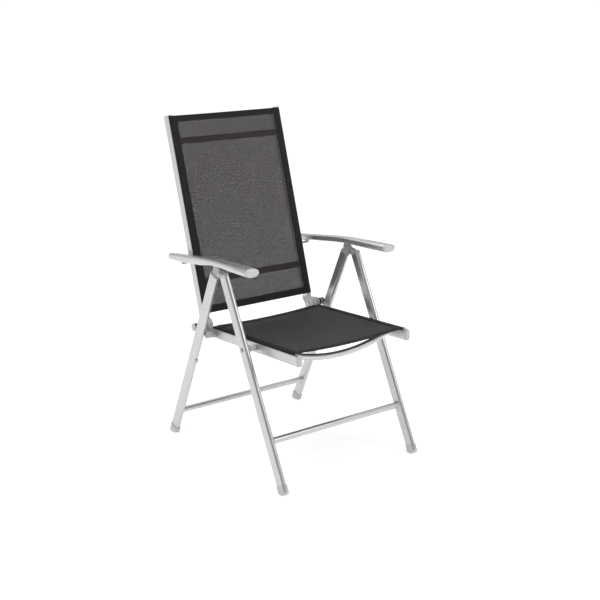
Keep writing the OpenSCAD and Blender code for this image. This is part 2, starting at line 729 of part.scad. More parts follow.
post_caps();
back_hinge_part(-1);  // back_hinge_left
back_hinge_part(1);  // back_hinge_right
rack_pins();
arm_bolt(-1);  // arm_bolt_left
arm_bolt(1);  // arm_bolt_right
arm_sleeve(-1);  // arm_sleeve_left
arm_sleeve(1);  // arm_sleeve_right
armrest(-1);  // armrest_left
armrest(1);  // armrest_right
arm_saddle(-1);  // arm_saddle_left
arm_saddle(1);  // arm_saddle_right
arm_rack(-1);  // arm_rack_left
arm_rack(1);  // arm_rack_right
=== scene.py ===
import json
import math

import bmesh
import bpy
from mathutils import Matrix, Vector


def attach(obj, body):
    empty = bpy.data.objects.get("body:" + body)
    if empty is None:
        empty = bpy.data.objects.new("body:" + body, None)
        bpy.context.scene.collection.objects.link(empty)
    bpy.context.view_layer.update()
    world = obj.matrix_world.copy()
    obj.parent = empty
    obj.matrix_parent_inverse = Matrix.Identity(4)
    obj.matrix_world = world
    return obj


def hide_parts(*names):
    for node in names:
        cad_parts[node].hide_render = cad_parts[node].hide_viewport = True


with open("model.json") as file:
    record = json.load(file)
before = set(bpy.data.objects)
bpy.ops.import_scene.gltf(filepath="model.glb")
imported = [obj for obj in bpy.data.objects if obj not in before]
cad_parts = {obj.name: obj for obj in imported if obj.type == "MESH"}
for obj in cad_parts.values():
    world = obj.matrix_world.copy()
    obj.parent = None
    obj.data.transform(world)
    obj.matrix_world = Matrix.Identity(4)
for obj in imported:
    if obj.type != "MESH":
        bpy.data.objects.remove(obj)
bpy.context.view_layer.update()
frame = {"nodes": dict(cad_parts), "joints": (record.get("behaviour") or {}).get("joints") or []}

# Sizes in millimetres, as in the frame's own drawing
TUBE_DEEP, TUBE_WIDE = 38, 18
LEG_X, LEG_INNER, LEG_OUTER = 262, 253, 271
RAIL_X, RAIL_INNER, RAIL_OUTER = 213, 204, 222
LEAN_FRONT, LEAN_REAR, LEAN_SEAT, LEAN_BACK = -26.4, 24.5, -3, -16.6
FRONT_LEG_Y, REAR_LEG_Y, POST_Y = -14.7, 28.9, 14.2
SEAT_FRONT, SEAT_REAR, SEAT_FLAP = -199, 239.6, 7
BACK_LOW, BACK_HIGH = 36, 687
LOW_BAR_Z, TOP_BAR_Z, BACK_BAR_ROUND = 142, 605, 10
PIN_Z, GUIDE_Y = 212, 232.1
ARM_FRONT, ARM_REAR = 221, 278

JOINTS = {joint["name"]: Vector(joint["pos_m"]) for joint in frame["joints"]}


def place(joint, lean=0):
    """Stands a piece drawn in millimetres round a hinge at that hinge, leaning by some degrees."""
    return (
        Matrix.Translation(JOINTS[joint])
        @ Matrix.Rotation(math.radians(lean), 4, "X")
        @ Matrix.Scale(0.001, 4)
    )


FRONT = place("leg_fold", LEAN_FRONT)
REAR = place("leg_fold", LEAN_REAR)
SEAT = place("seat_fold", LEAN_SEAT)
HINGE = place("back_fold")
BACK = place("back_fold", LEAN_BACK)
ARM = place("arm_fold_left")
SEAT_PIVOT = place("seat_fold")
WORLD = Matrix.Scale(0.001, 4)
SIDES = {"left": -1, "right": 1}


# ---- Shader maths ----


class Wire:
    """A number inside a node tree, so that its maths reads as plain sums."""

    def __init__(self, nodes, socket):
        self.nodes, self.socket = nodes, socket

    def maths(self, what, *values, clamp=False):
        settings = dict(operation=what, use_clamp=clamp)
        return self.nodes.node("ShaderNodeMath", settings, dict(enumerate(values)))

    def __add__(self, other):
        return self.maths("ADD", self, other)

    __radd__ = __add__

    def __sub__(self, other):
        return self.maths("SUBTRACT", self, other)

    def __rsub__(self, other):
        return self.maths("SUBTRACT", other, self)

    def __mul__(self, other):
        return self.maths("MULTIPLY", self, other)

    __rmul__ = __mul__

    def __abs__(self):
        return self.maths("ABSOLUTE", self)

    def wave(self):
        return self.maths("SINE", self)

    def over(self, limit, soft):
        """0 below the limit and 1 above it, with a soft step."""
        return self.maths("MULTIPLY_ADD", self, 1 / soft, 0.5 - limit / soft, clamp=True)


class Nodes:
    """A node tree. All its nodes come from one method."""

    def __init__(self, tree):
        self.tree = tree

    def feed(self, socket, value):
        if isinstance(value, Wire):
            self.tree.links.new(value.socket, socket)
        else:
            socket.default_value = value

    def node(self, kind, settings, inputs, out=0):
        made = self.tree.nodes.new(kind)
        for key, value in settings.items():
            if key == "stops":
                ramp = made.color_ramp.elements
                for spot, colour in value[1:-1]:
                    ramp.new(spot).color = (*colour, 1)
                for end, (spot, colour) in ((ramp[0], value[0]), (ramp[-1], value[-1])):
                    end.position, end.color = spot, (*colour, 1)
            else:
                setattr(made, key, value)
        for key, value in inputs.items():
            self.feed(made.inputs[key], value)
        return Wire(self, made.outputs[out])

    def where(self, source="Object"):
        return self.node("ShaderNodeTexCoord", {}, {}, out=source)

    def axes(self, spot):
        split = self.node("ShaderNodeSeparateXYZ", {}, {0: spot}).socket.node
        return [Wire(self, split.outputs[axis]) for axis in "XYZ"]

    def scaled(self, spot, scale, turn=(0, 0, 0)):
        return self.node(
            "ShaderNodeMapping", {}, {"Vector": spot, "Scale": scale, "Rotation": turn}
        )

    def noise(self, spot, scale, detail=2.0, roughness=0.5):
        inputs = {"Vector": spot, "Scale": scale, "Detail": detail, "Roughness": roughness}
        return self.node("ShaderNodeTexNoise", {}, inputs)

    def between(self, share, first, second):
        """A colour between two colours."""
        inputs = {0: share, 6: (*first, 1), 7: (*second, 1)}
        return self.node("ShaderNodeMix", dict(data_type="RGBA"), inputs, out=2)


class Paint(Nodes):
    """A material."""

    def __init__(self, name, **fixed):
        self.material = bpy.data.materials.new(name)
        self.material.use_nodes = True
        super().__init__(self.material.node_tree)
        self.shader = self.tree.nodes["Principled BSDF"]
        self.set(**fixed)

    def set(self, **inputs):
        for key, value in inputs.items():
            self.feed(self.shader.inputs[key.replace("_", " ")], value)

    def bump(self, height, depth, strength=1.0):
        inputs = {"Strength": strength, "Distance": depth, "Height": height}
        self.set(Normal=self.node("ShaderNodeBump", {}, inputs))


# ---- Camera and stage ----


def aim(thing, spot, azimuth, elevation, distance):
    """Puts a camera or a lamp round a spot, looking at it."""
    a, e = math.radians(azimuth), math.radians(elevation)
    back = Vector((math.sin(a) * math.cos(e), -math.cos(a) * math.cos(e), math.sin(e)))
    thing.location = spot + back * distance
    thing.rotation_mode = "QUATERNION"
    thing.rotation_quaternion = (-back).to_track_quat("-Z", "Y")


def set_camera():
    lens = bpy.data.cameras.new("camera")
    lens.lens, lens.sensor_width = 67.5, 36
    camera = bpy.data.objects.new("camera", lens)
    bpy.context.scene.collection.objects.link(camera)
    centre = Vector((0.034, JOINTS["leg_fold"].y - 0.012, 0.489))
    aim(camera, centre, azimuth=-37.14, elevation=15.78, distance=3.665)
    bpy.context.scene.camera = camera


def lamp(name, azimuth, elevation, distance, size, power):
    light = bpy.data.lights.new(name, "AREA")
    light.shape, light.size, light.energy = "DISK", size, power
    holder = bpy.data.objects.new(name, light)
    bpy.context.scene.collection.objects.link(holder)
    aim(holder, Vector((0, 0, 0.5)), azimuth, elevation, distance)


def grey(level):
    return level, level, level


def set_room():
    """A round studio: pale below, dimmer at head height, bright overhead, one dark corner."""
    world = bpy.data.worlds.new("studio room")
    bpy.context.scene.world = world
    world.use_nodes = True
    nodes = Nodes(world.node_tree)
    x, y, z = nodes.axes(nodes.where("Generated"))
    heights = [
        (0.0, grey(0.9)),
        (0.12, grey(0.85)),
        (0.28, grey(0.54)),
        (0.5, grey(0.52)),
        (0.8, grey(0.9)),
    ]
    wall = nodes.node("ShaderNodeValToRGB", dict(stops=heights), {"Fac": z})
    corner = (x * -0.52 + y * -0.72 + z * 0.45).over(0.88, 0.1)
    mixed = {0: corner * 0.8, 6: wall, 7: (*grey(0.08), 1)}
    shade = nodes.node("ShaderNodeMix", dict(data_type="RGBA"), mixed, out=2)
    room = world.node_tree.nodes["Background"]
    nodes.feed(room.inputs["Color"], shade)
    room.inputs["Strength"].default_value = 1.0
    bpy.context.scene.view_settings.view_transform = "Standard"


set_camera()
set_room()
lamp("big soft lamp", -80, 55, 3.4, 2.2, 26)
lamp("front soft lamp", 25, 30, 3.6, 1.4, 24)
lamp("rear soft lamp", 150, 50, 3.4, 2.0, 12)


# ---- Materials ----

MESH_PITCH, HEM_PITCH = 0.0016, 0.0011


def satin_metal(name, light, dark, metallic, roughness):
    """Painted aluminium tube: fine sparkle, faint drawing lines and a few dull rubbed patches."""
    paint = Paint(name, Metallic=metallic)
    spot = paint.where()
    sparkle = paint.noise(spot, 1400, 2)
    drawn = paint.noise(paint.scaled(spot, (900, 60, 60)), 1, 3)
    cloud = paint.noise(spot, 7, 3)
    rubbed = paint.noise(spot, 26, 4, 0.65).over(0.62, 0.08)
    paint.set(
        Base_Color=paint.between(cloud.over(0.5, 0.5), light, dark),
        Roughness=roughness + 0.08 * (sparkle - 0.5) + 0.05 * (drawn - 0.5) + 0.03 * rubbed,
    )
    paint.bump(sparkle * 0.7 + drawn * 0.3, 0.00002, 0.3)
    return paint.material


def moulded_plastic(name, light, dark, roughness=0.42, metallic=0.0):
    """Injection-moulded plastic: a fine spark-eroded grain and faint flow clouds."""
    paint = Paint(name, Metallic=metallic)
    spot = paint.where()
    grains = paint.noise(spot, 700, 2)
    flow = paint.noise(spot, 22, 3)
    paint.set(
        Base_Color=paint.between(flow.over(0.5, 0.6), light, dark),
        Roughness=roughness + 0.18 * (grains - 0.5) + 0.08 * (flow - 0.5),
    )
    paint.bump(grains, 0.00012, 0.6)
    return paint.material


def bolt_steel(name):
    """Zinc-plated steel with turning rings and a blotchy passivated film."""
    paint = Paint(name, Metallic=1.0)
    spot = paint.where()
    blotch = paint.noise(spot, 160, 4, 0.6)
    rings = paint.noise(paint.scaled(spot, (4000, 200, 200)), 1, 2)
    paint.set(
        Base_Color=paint.between(blotch, (0.62, 0.62, 0.61), (0.36, 0.36, 0.37)),
        Roughness=0.22 + 0.2 * blotch,
    )
    paint.bump(rings, 0.00005, 0.5)
    return paint.material


def weave(paint, pitch):
    """The flat coordinates of a cloth in metres, and the waves of its warp and weft."""
    spot = paint.where("UV")
    across, along, _ = paint.axes(spot)
    return spot, (across * (math.pi / pitch)).wave(), (along * (math.pi / pitch)).wave()


def sling_mesh(name, light, dark, gap):
    """Coated yarn woven with open corners. The gap says how open, and it varies over the cloth."""
    paint = Paint(name, Specular_IOR_Level=0.4)
    spot, warp, weft = weave(paint, MESH_PITCH)
    over = (warp * weft).over(0, 0.4)
    height = abs(warp) * (0.35 + 0.65 * over) + abs(weft) * (1 - 0.65 * over)
    uneven = paint.noise(paint.scaled(spot, (260, 180, 1)), 1, 1) - 0.5
    slack = gap - uneven
    opening = (1 - (abs(warp) - slack).over(0, 0.12)) * (1 - (abs(weft) - slack).over(0, 0.12))
    slub = paint.noise(paint.scaled(spot, (620, 40, 1)), 1, 2)
    cloud = paint.noise(spot, 14, 3)
    paint.set(
        Base_Color=paint.between(slub * 0.6 + cloud * 0.2 + uneven * 1.2 + 0.1, light, dark),
        Roughness=0.5 + 0.2 * (slub - 0.5) + 0.1 * (1 - height * 0.5),
        Alpha=1 - opening,
    )
    paint.bump(height, 0.0004, 0.8)
    return paint.material


def hem_cloth(name, light, dark):
    """Folded edge: the same yarn doubled, so close that nothing shows through."""
    paint = Paint(name, Specular_IOR_Level=0.22)
    spot, warp, weft = weave(paint, HEM_PITCH)
    ribs = warp * weft
    cloud = paint.noise(spot, 60, 3)
    paint.set(
        Base_Color=paint.between(cloud, light, dark),
        Roughness=0.62 + 0.2 * (cloud - 0.5),
    )
    paint.bump(ribs, 0.00035, 0.8)
    return paint.material


def thread_yarn(name, light, dark):
    """Twisted sewing thread."""
    paint = Paint(name)
    spot = paint.where()
    twist = paint.noise(paint.scaled(spot, (2600, 2600, 2600), (0.6, 0.6, 0)), 1, 1)
    paint.set(Base_Color=paint.between(twist, light, dark), Roughness=0.55 + 0.2 * twist)
    paint.bump(twist, 0.0002, 0.7)
    return paint.material


def black_rubber(name):
    """Black rubber with a little dust on it."""
    paint = Paint(name, Specular_IOR_Level=0.35)
    spot = paint.where()
    grain = paint.noise(spot, 520, 3)
    dust = paint.noise(spot, 34, 4, 0.6).over(0.55, 0.3)
    paint.set(
        Base_Color=paint.between(dust, (0.012, 0.012, 0.013), (0.032, 0.032, 0.033)),
        Roughness=0.5 + 0.25 * (grain - 0.5) + 0.12 * dust,
    )
    paint.bump(grain, 0.00015, 0.6)
    return paint.material


SILVER = satin_metal("silver tube paint", (0.58, 0.58, 0.586), (0.52, 0.52, 0.526), 0.85, 0.31)
ARM_SILVER = satin_metal("armrest satin paint", (0.60, 0.60, 0.606), (0.54, 0.54, 0.546), 0.75, 0.28)
NOSE_PAINT = satin_metal("armrest nose paint", (0.56, 0.56, 0.566), (0.52, 0.52, 0.526), 0.35, 0.46)
GREY_PLASTIC = moulded_plastic("grey fittings", (0.44, 0.44, 0.445), (0.38, 0.38, 0.385))
CAP_PLASTIC = moulded_plastic("light caps", (0.50, 0.505, 0.51), (0.44, 0.445, 0.45), 0.34)
FOOT_PLASTIC = moulded_plastic("grey feet", (0.50, 0.50, 0.505), (0.44, 0.44, 0.445), 0.38, metallic=0.7)
STEEL = bolt_steel("zinc steel")
SEAT_MESH = sling_mesh("seat mesh", (0.028, 0.0205, 0.0225), (0.014, 0.010, 0.011), gap=0.36)
BACK_MESH = sling_mesh("back mesh", (0.028, 0.0165, 0.0240), (0.013, 0.0075, 0.0110), gap=0.545)
HEM = hem_cloth("hem cloth", (0.015, 0.0138, 0.0145), (0.009, 0.0085, 0.009))
THREAD = thread_yarn("seam thread", (0.05, 0.048, 0.05), (0.028, 0.027, 0.028))
RUBBER = black_rubber("black rubber")


# ---- Making pieces ----


def shown(name, bm, at, material):
    """A smooth object in the scene, from a drawing in millimetres."""
    bm.transform(at)
    mesh = bpy.data.meshes.new(name)
    bm.to_mesh(mesh)
    bm.free()
    mesh.shade_smooth()
    mesh.materials.append(material)
    piece = bpy.data.objects.new(name, mesh)
    bpy.context.scene.collection.objects.link(piece)
    return piece


def tagged(piece, body, stands_for):
    """Says which body a piece rides on, and the frame's nodes that it replaces."""
    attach(piece, body)
    if stands_for:
        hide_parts(*stands_for)
    return piece


def finish(name, bm, at, material, body, stands_for=(), bevel=0.0, corner=35, merge=0.001):
    """Turns a drawing in millimetres into a finished piece that rides on a body."""
    bmesh.ops.remove_doubles(bm, verts=bm.verts, dist=merge)
    bmesh.ops.recalc_face_normals(bm, faces=bm.faces)
    if bevel:
        sharp = [
            edge
            for edge in bm.edges
            if edge.is_manifold and edge.calc_face_angle() > math.radians(corner)
        ]
        bmesh.ops.bevel(
            bm, geom=sharp, offset=bevel, segments=2, profile=0.5, affect="EDGES",
            clamp_overlap=True, material=-1,
        )
    piece = shown(name, bm, at, material)
    piece.data.set_sharp_from_angle(angle=math.radians(corner))
    return tagged(piece, body, stands_for)


MIRROR = Matrix.Scale(-1, 4, (1, 0, 0))


def mirrored(bm):
    """Flips a drawing of the right side to the left."""
    bmesh.ops.transform(bm, matrix=MIRROR, verts=bm.verts)
    bmesh.ops.reverse_faces(bm, faces=bm.faces)
    return bm


def both_sides(bm):
    """Adds the left side to a drawing of the right side."""
    copied = bmesh.ops.duplicate(bm, geom=bm.verts[:] + bm.edges[:] + bm.faces[:])["geom"]
    verts = [item for item in copied if isinstance(item, bmesh.types.BMVert)]
    faces = [item for item in copied if isinstance(item, bmesh.types.BMFace)]
    bmesh.ops.transform(bm, matrix=MIRROR, verts=verts)
    bmesh.ops.reverse_faces(bm, faces=faces)
    return bm


def turned(bm, profile, centre=(0, 0), steps=48):
    """Turns a profile of (x, radius) points round a line along X through the centre."""
    y, z = centre
    points = [bm.verts.new((x, y, z + radius)) for x, radius in profile]
    edges = [bm.edges.new(pair) for pair in zip(points, points[1:])]
    bmesh.ops.spin(
        bm, geom=points + edges, cent=(0, y, z), axis=(1, 0, 0), angle=2 * math.pi,
        steps=steps, use_merge=True,
    )
    bmesh.ops.remove_doubles(bm, verts=bm.verts, dist=0.001)
    return bm


def oval_ring(bm, deep, wide, segments=48):
    """The tube's flat oval in the XY plane, long side along Y."""
    verts = bmesh.ops.create_circle(
        bm, segments=segments, radius=wide / 2, matrix=Matrix.Rotation(math.pi / segments, 4, "Z")
    )["verts"]
    for vert in verts:
        vert.co.y += math.copysign((deep - wide) / 2, vert.co.y)
    return verts


def oval_block(bm, low, high, centre, grown, lying=False):
    """A slice of the tube's oval outline, standing along Z, or lying along Y from low to high."""
    verts = oval_ring(bm, TUBE_DEEP + 2 * grown, TUBE_WIDE + 2 * grown)
    face = bmesh.ops.contextual_create(
        bm, geom=list({edge for vert in verts for edge in vert.link_edges})
    )["faces"][0]
    top = bmesh.ops.extrude_face_region(bm, geom=[face], use_keep_orig=True)["geom"]
    raised = [item for item in top if isinstance(item, bmesh.types.BMVert)]
    bmesh.ops.translate(bm, vec=(0, 0, high - low), verts=raised)
    spot = Vector((centre[0], low, centre[1])) if lying else Vector((*centre, low))
    turn = Matrix.Rotation(math.radians(-90), 4, "X") if lying else Matrix.Identity(4)
    bmesh.ops.transform(bm, matrix=Matrix.Translation(spot) @ turn, verts=verts + raised)
    return bm


# ---- Tubes and brackets that keep the frame's own shape ----

TUBES = (
    "front_leg_left", "front_leg_right", "front_stretcher", "rear_leg_left", "rear_leg_right",
    "rear_stretcher", "seat_rail_left", "seat_rail_right", "seat_front_bow", "seat_rear_bar",
    "back_post_left", "back_post_right", "back_top_bar", "back_low_bar",
)
FITTINGS = ("arm_bracket", "leg_top", "arm_rack", "arm_sleeve", "seat_hinge", "back_hinge")
PAINTED = {
    **{name: SILVER for name in TUBES},
    **{f"{part}_{side}": GREY_PLASTIC for part in FITTINGS for side in SIDES},
    **{f"{part}_{side}": FOOT_PLASTIC for part in ("front_foot", "rear_foot") for side in SIDES},
    "seat_cords": RUBBER,
    "back_cords": RUBBER,
}
for name, material in PAINTED.items():
    mesh = frame["nodes"][name].data
    mesh.materials.clear()
    mesh.materials.append(material)


# ---- Turned parts on the hinges ----


def rounded(x, radius, ease, facing):
    """Three points of a rim's rounding. It faces -1 where the step starts and 1 where it ends."""
    low = (x, radius - ease)
    middle = (x - facing * 0.3 * ease, radius - 0.3 * ease)
    high = (x - facing * ease, radius)
    return [low, middle, high] if facing < 0 else [high, middle, low]


def stepped(start, steps, ease=0.6):
    """Profile of a turned part: steps of (length, radius) with eased rims, closed at both ends."""
    profile, x = [(start, 0)], start
    for length, radius in steps:
        rim = min(ease, 0.4 * length)
        profile += rounded(x, radius, rim, -1) + rounded(x + length, radius, rim, 1)
        x += length
    return profile + [(x, 0)]


def domed(start, radius, height, socket=0.0):
    """Profile of a bolt's or rivet's head, with a socket where it has one."""
    top, bottom = start + height, start + 0.35 * height
    profile = [(start, 0), (start, radius), (start + 0.25 * height, radius)]
    for step in range(1, 6):
        turn = math.radians(90 * step / 6)
        along = start + height * (0.25 + 0.75 * math.sin(turn))
        profile.append((along, radius * (1 - 0.75 * (1 - math.cos(turn)))))
    if socket:
        return profile + [(top, socket * 1.15), (top - 0.3, socket), (bottom, socket), (bottom, 0)]
    return profile + [(top, 0)]


def flipped(profile):
    """The same profile on the inner side of the plane of the legs."""
    return [(2 * LEG_X - x, radius) for x, radius in profile]


def turned_pair(name, profiles, at, body, material, stands_for=(), centre=(0, 0), sides=48):
    """Turned parts on the right side and their mirror images on the left, as one piece."""
    bm = bmesh.new()
    for profile in profiles:
        turned(bm, profile, centre, sides)
    finish(name, both_sides(bm), at, material, body, stands_for)


def on_axle(name, profiles, material, stands_for=(), sides=48):
    """Turned parts of the back's hinge."""
    turned_pair(name, profiles, HINGE, "hinge_axle", material, stands_for, sides=sides)


def hinge_parts():
    """The stack between the hinge discs and the plane of the legs, its rollers and its nuts."""
    discs = [(3, 20), (1.9, 14), (3.1, 20), (2, 13), (2.2, 15), (1.8, 13), (4, 18), (3.8, 12.5)]
    on_axle("spacer_discs", [stepped(RAIL_OUTER, discs)], CAP_PLASTIC, ["hinge_spacers"])
    # Thin black rings in the grooves between the discs: painted shade in those grooves, not separate
    # parts.
    rings = [(3, 16), (8, 14), (12.2, 14)]
    groove_shades = [stepped(RAIL_OUTER + start, [(1.9, radius)], 0.1) for start, radius in rings]
    on_axle("spacer_groove_shade", groove_shades, RUBBER)
    sleeve = [(1.4, 9.4), (2.5, 12), (1.3, 9.4), (2.5, 12), (0.8, 9.4)]
    on_axle("spacer_sleeves", [stepped(RAIL_OUTER + 21.8, sleeve)], RUBBER)
    barrel = stepped(LEG_INNER + 4, [(7.6, 12)], 0.8)
    on_axle("rollers", [barrel], RUBBER, ["stop_rollers"])
    flanges = [stepped(LEG_INNER + start, [(long, 12.6)]) for start, long in ((2, 2.2), (11.4, 3))]
    on_axle("roller_flanges", flanges, CAP_PLASTIC)
    # A black ring between each roller and the leg's face: painted shade in the gap between them.
    on_axle("roller_gap_shade", [stepped(LEG_INNER, [(2, 8)], 0.2)], RUBBER)
    washer = stepped(RAIL_INNER - 1.6, [(1.6, 9)], 0.3)
    bolt_end = stepped(RAIL_INNER - 7, [(1.6, 4)], 0.5)
    on_axle("hinge_washers", [washer, bolt_end], STEEL, ["hinge_bolts"])
    on_axle("hinge_nuts", [stepped(RAIL_INNER - 5.4, [(3.8, 7.4)], 0.4)], STEEL, sides=6)
    bushes = [
        (2.6, 12.5), (0.8, 11.6), (2.6, 12.5), (4, 9.5), (5.5, 12.5), (0.9, 11.6), (5.6, 12.5),
        (0.9, 11.6), (7.1, 12.5),
    ]
    turned_pair(
        "guides", [stepped(RAIL_OUTER, bushes)], SEAT, "seat", GREY_PLASTIC,
        ["guide_bushes"], centre=(GUIDE_Y, 0),
    )


def seat_pivots():
    """Bushes, heads, washers and nuts of the bolts that hold the seat on the front legs."""
    at, body = SEAT_PIVOT, "front_frame"
    bush = [(12, 10), (0.8, 9.3), (11.9, 10), (2.4, 13), (0.8, 12), (2.6, 13)]
    turned_pair(
        "pivot_bushes", [stepped(RAIL_OUTER + 0.3, bush)], at, body, CAP_PLASTIC,
        ["seat_pivot_bushes"],
    )
    head = domed(LEG_OUTER + 0.5, 5.2, 2.6, socket=2)
    bolt_end = stepped(RAIL_INNER - 7.2, [(2, 3.4)], 0.5)
    turned_pair("pivot_heads", [head, bolt_end], at, body, STEEL, ["seat_pivot_bolts"])
    rings = [stepped(LEG_OUTER, [(0.9, 6.4)], 0.3), stepped(RAIL_OUTER + 22.8, [(2.1, 11.2)], 0.3)]
    turned_pair("pivot_washers", rings, at, body, RUBBER)
    nut = stepped(RAIL_INNER - 5.2, [(5, 7)], 0.5)
    turned_pair("pivot_nuts", [nut], at, body, STEEL, sides=6)


def apex_heads():
    """The rivets' heads on both sides of each leg, on dark rims."""
    outer = domed(LEG_OUTER, 6.8, 2.0, socket=1.4)
    turned_pair(
        "apex_heads", [outer, flipped(outer)], FRONT, "front_frame", STEEL, ["apex_rivets"]
    )
    rims = stepped(LEG_OUTER - 0.2, [(0.5, 7.9)], 0.2)
    turned_pair("apex_rims", [rims, flipped(rims)], FRONT, "front_frame", RUBBER)


def stop_pins():
    """Pins on the posts that the armrests' racks hook over."""
    pin = [
        (RAIL_OUTER, 0), (RAIL_OUTER, 7.1), (RAIL_OUTER + 0.4, 7.5), (RAIL_OUTER + 2.6, 7.5),
        (RAIL_OUTER + 3, 7.1), (RAIL_OUTER + 3, 4.5), (257.2, 4.5), (258.3, 4), (258.7, 3), (258.7, 0),
    ]
    turned_pair(
        "stop_pins", [pin], BACK, "backrest", STEEL, ["rack_pins"], centre=(POST_Y, PIN_Z)
    )


def arm_lugs():
    """The cheeks that hang from each armrest and hold it on its bolt."""
    outline = []
    for degrees in range(200, 341, 10):
        turn = math.radians(degrees)
        outline.append((8 * math.cos(turn), 8 * math.sin(turn)))
    outline += [(12, 3.4), (12, 5.1), (-12, 5.1), (-12, 3.4)]
    for word, side in SIDES.items():
        bm = bmesh.new()
        for start in (LEG_X - 9.4, LEG_X + 3.4):
            cheek = [bm.verts.new((start, y, z)) for y, z in outline]
            face = bmesh.ops.contextual_create(bm, geom=cheek)["faces"]
            grown = bmesh.ops.extrude_face_region(bm, geom=face, use_keep_orig=True)["geom"]
            moved = [item for item in grown if isinstance(item, bmesh.types.BMVert)]
            bmesh.ops.translate(bm, vec=(6, 0, 0), verts=moved)
        if side < 0:
            mirrored(bm)
        finish(
            f"arm_lugs_{word}", bm, ARM, CAP_PLASTIC, f"{word}_armrest",
            [f"arm_saddle_{word}"], bevel=0.6,
        )
        head = domed(LEG_X + 9.8, 5, 1.5, socket=1.6)
        shank = stepped(LEG_X - 9.9, [(19.8, 3)], 0.2)
        bm = bmesh.new()
        for profile in (head, flipped(head), shank):
            turned(bm, profile)
        if side < 0:
            mirrored(bm)
        finish(
            f"arm_bolt_heads_{word}", bm, ARM, STEEL, f"{word}_arm_bolt", [f"arm_bolt_{word}"]
        )


def bumpers():
    """Round pads pressed into the fronts of the rear legs."""
    bm = turned(bmesh.new(), stepped(-6, [(9.6, 6.3), (0.6, 5.5), (0.8, 5.0)], 0.5))
    spot = Matrix.Translation((LEG_X, REAR_LEG_Y - TUBE_DEEP / 2, -358))
    bm.transform(spot @ Matrix.Rotation(math.radians(-90), 4, "Z"))
    finish(
        "bumper_pads", both_sides(bm), REAR, CAP_PLASTIC, "rear_frame", ["leg_bumpers"]
    )


hinge_parts()
seat_pivots()
apex_heads()
stop_pins()
arm_lugs()
bumpers()


# ---- Caps, foot rims and welds ----


def end_caps():
    """Plugs that close the rails in front and the posts on top."""
    bm = oval_block(bmesh.new(), -216.2, -212.7, (RAIL_X, 0), grown=-0.5, lying=True)
    finish(
        "rail_plugs", both_sides(bm), SEAT, CAP_PLASTIC, "seat",
        ["rail_front_caps"], bevel=1.1,
    )
    bm = oval_block(bmesh.new(), 687.8, 691.2, (RAIL_X, POST_Y), grown=0.5)
    finish(
        "post_plugs", both_sides(bm), BACK, CAP_PLASTIC, "backrest",
        ["post_caps"], bevel=1.3,
    )


def foot_rims():
    """Two raised lips round each foot's upper edge."""
    for word, at, y in (("front", FRONT, FRONT_LEG_Y), ("rear", REAR, REAR_LEG_Y)):
        mesh = frame["nodes"][f"{word}_foot_right"].data
        top = max((at.inverted() @ vert.co).z for vert in mesh.vertices)
        bm = bmesh.new()
        for low, high in ((top - 2.4, top - 1.8), (top - 4.9, top - 4.3)):
            oval_block(bm, low, high, (LEG_X, y), grown=1.75)
        finish(
            f"{word}_foot_lips", both_sides(bm), at, FOOT_PLASTIC, f"{word}_frame",
            bevel=0.2,
        )


def weld(bm, x, centre, radius):
    """A rippled bead where a bar meets a tube's inner face."""
    bead = [
        (x + 0.5, 0), (x + 0.5, radius + 2.6), (x - 0.8, radius + 2.2), (x - 2.2, radius + 1.2),
        (x - 3.2, radius + 0.2), (x - 3.2, 0),
    ]
    made = turned(bmesh.new(), bead, centre, 72)
    y, z = centre
    for vert in made.verts:
        out = Vector((0, vert.co.y - y, vert.co.z - z))
        if out.length > radius + 0.5:
            turn = math.atan2(out.z, out.y)
            vert.co += out.normalized() * (0.3 * math.sin(18 * turn) + 0.15 * math.sin(7 * turn))
    spare = bpy.data.meshes.new("spare bead")
    made.to_mesh(spare)
    made.free()
    bm.from_mesh(spare)
    bpy.data.meshes.remove(spare)


def welds():
    """Beads at both ends of every bar, each listed by its tube's face, the bar's middle and its radius."""
    for name, at, body, beads in (
        ("front_welds", WORLD, "front_frame", [(LEG_INNER, (-277.6, 147), 10)]),
        ("rear_welds", WORLD, "rear_frame", [(LEG_INNER, (246.8, 86), 10)]),
        ("seat_welds", SEAT, "seat", [(RAIL_INNER, (190, 0), 10), (RAIL_INNER, (-140, 3), 11)]),
        ("back_welds", BACK, "backrest", [
            (RAIL_INNER, (POST_Y, z), BACK_BAR_ROUND) for z in (LOW_BAR_Z, TOP_BAR_Z)
        ]),
    ):
        bm = bmesh.new()
        for x, centre, radius in beads:
            weld(bm, x, centre, radius)
        finish(name, both_sides(bm), at, SILVER, body)


end_caps()
foot_rims()
welds()


# ---- Armrests ----

# Its half widths and half height. It is widest ahead of WIDE_END, and it bends inwards behind BEND_START
HEAD_HALF, TAIL_HALF, WIDE_END = 25, 14, -170
ARM_HALF_HIGH, BEND_START, BEND_IN, HEAD_OUT = 10.5, 60, 10, 7
REAR_SLOPE = math.tan(math.radians(7.2))
TAIL_ROUND, TAIL_CLOSE = 10, 0.7
# How far the skin wraps under each edge in degrees, and how far the outer wall hangs below the section
ARM_LIP, SKIRT = 50, 5.5
HEAD_START, SKIRT_START, SKIRT_END, SKIRT_FADE = 60, 60, 245, 30
# The skin's wall, and the spacing of its stations at the head and along the rest
ARM_WALL, HEAD_STEP, ARM_STEP = 2.2, 12, 14
SKIN_FACES, NOSE_FACES = 44, 64
# The nose's size for each distance back from its tip
NOSE = (
    (0, 0.03), (0.15, 0.3), (0.45, 0.52), (0.95, 0.7), (1.6, 0.82), (2.5, 0.905), (4, 0.96),
    (6.5, 0.99), (10, 1),
)
NOSE_ROUND = NOSE[-1][0]


def spread(share, knots):
    """The value at a share, from knots of (share, value)."""
    for (s0, v0), (s1, v1) in zip(knots, knots[1:]):
        if share <= s1:
            return v0 + (v1 - v0) * (share - s0) / (s1 - s0)
    return knots[-1][1]


def arm_share(y):
    """0 behind the head of the armrest, and 1 at its tip."""
    return max(0, (-y - HEAD_START) / (ARM_FRONT - HEAD_START))


